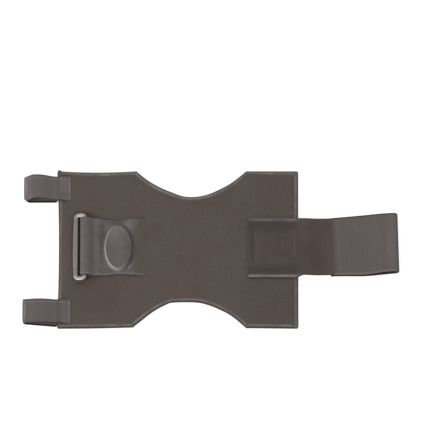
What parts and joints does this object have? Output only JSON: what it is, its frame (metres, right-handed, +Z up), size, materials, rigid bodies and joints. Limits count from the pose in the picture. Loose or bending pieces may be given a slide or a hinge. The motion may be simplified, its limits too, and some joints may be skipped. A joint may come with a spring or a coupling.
{
  "type": "knee support",
  "caption": "Wrap-round knee support laid flat: bound neoprene panel with a narrowed waist, pull loops, a ring in a tab drawn over an oval pad, and a strap with a doubled elastic end.",
  "frame": {"origin": "on the table, below the middle of the whole support as it lies", "axes": "+X along the support from the pull loops to the strap's end, +Y across it, +Z up, out of the face that is worn outside"},
  "size_m": [0.376, 0.166, 0.0136],
  "materials": {
    "neoprene": "smooth knit face on neoprene foam, faded black-brown",
    "binding_tape": "folded knit tape, sewn through",
    "elastic_webbing": "fine-ribbed grey elastic webbing",
    "plated_steel": "satin nickel plate on a flattened steel section",
    "woven_webbing": "plain woven webbing",
    "foam_pad": "moulded foam, hidden under the tab",
    "pile_strap": "short brushed loop pile",
    "strap_elastic": "cross-ribbed elastic"
  },
  "bodies": {
    "support": {"panel": "neoprene", "edge_binding": "binding_tape", "loop_upper": "elastic_webbing", "loop_lower": "elastic_webbing", "ring_tab": "woven_webbing", "pressure_pad": "foam_pad", "strap": "pile_strap", "strap_loop": "strap_elastic"},
    "ring": {"ring": "plated_steel"}
  },
  "joints": [
    {"name": "ring_swing", "type": "hinge", "parent": "support", "child": "ring", "pos_m": [-0.1261, 0.0013, 0.00875], "axis": [0, 1, 0], "range_deg": [0, 165]}
  ]
}
